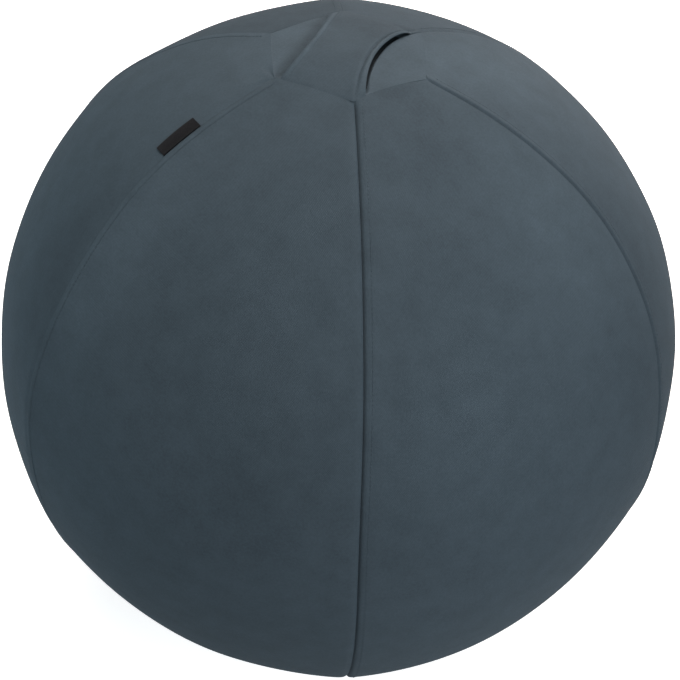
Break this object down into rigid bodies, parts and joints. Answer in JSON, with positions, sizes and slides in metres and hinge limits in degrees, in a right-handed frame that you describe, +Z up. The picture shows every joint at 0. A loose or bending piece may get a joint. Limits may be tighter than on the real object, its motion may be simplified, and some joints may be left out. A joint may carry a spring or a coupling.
{
  "type": "sitting ball",
  "caption": "Inflated sitting ball in a zipped fabric cover of sewn gores, with a hexagonal crown, a carry strap over it and a weighted flat base.",
  "frame": {"origin": "on the floor, under the middle of the ball", "axes": "+Z up through the crown; the strap runs along Y, with its near end in the picture at -Y; seams lie at -X and +X"},
  "size_m": [0.65, 0.639, 0.6531],
  "materials": {
    "slate_cloth": "matte",
    "black_ribbon": "matte",
    "grey_vinyl": "satin",
    "white_plug": "satin",
    "lining_cloth": "matte",
    "sand": "matte",
    "zip_plastic": "satin",
    "zip_metal": "satin"
  },
  "bodies": {
    "ball": {"gore_front": "slate_cloth", "gore_front_right": "slate_cloth", "gore_back_right": "slate_cloth", "gore_back": "slate_cloth", "gore_back_left": "slate_cloth", "gore_front_left": "slate_cloth", "top_cap": "slate_cloth", "base_panel": "slate_cloth", "handle_end_front": "slate_cloth", "handle_end_rear": "slate_cloth", "tag": "black_ribbon", "inner_ball": "grey_vinyl", "valve_plug": "white_plug", "ballast_bag": "lining_cloth", "ballast_lid": "lining_cloth", "zip_tape_left": "lining_cloth", "zip_tape_right": "lining_cloth", "ballast_sand": "sand", "zip_teeth_left": "zip_plastic", "zip_teeth_right": "zip_plastic", "zip_top_stop_left": "zip_plastic", "zip_top_stop_right": "zip_plastic", "zip_end_stop": "zip_plastic"},
    "handle": {"handle_grip": "slate_cloth"},
    "slider": {"zip_slider": "zip_metal"},
    "pull": {"zip_pull": "zip_metal"}
  },
  "joints": [
    {"name": "handle_lift", "type": "slide", "parent": "ball", "child": "handle", "axis": [0, 0, 1], "range_m": [-0.004, 0.012], "stiffness_N_per_m": 150, "deforming": ["handle_end_front", "handle_end_rear"]},
    {"name": "zip_run", "type": "hinge", "parent": "ball", "child": "slider", "pos_m": [0, 0, 0.32081], "axis": [-0.866, -0.5, 0], "range_deg": [0, 54.5], "deforming": ["zip_teeth_left", "zip_teeth_right"]},
    {"name": "pull_flip", "type": "hinge", "parent": "slider", "child": "pull", "pos_m": [-0.16298, 0.2823, 0.34347], "axis": [0.866, 0.5, 0], "range_deg": [0, 170]}
  ]
}
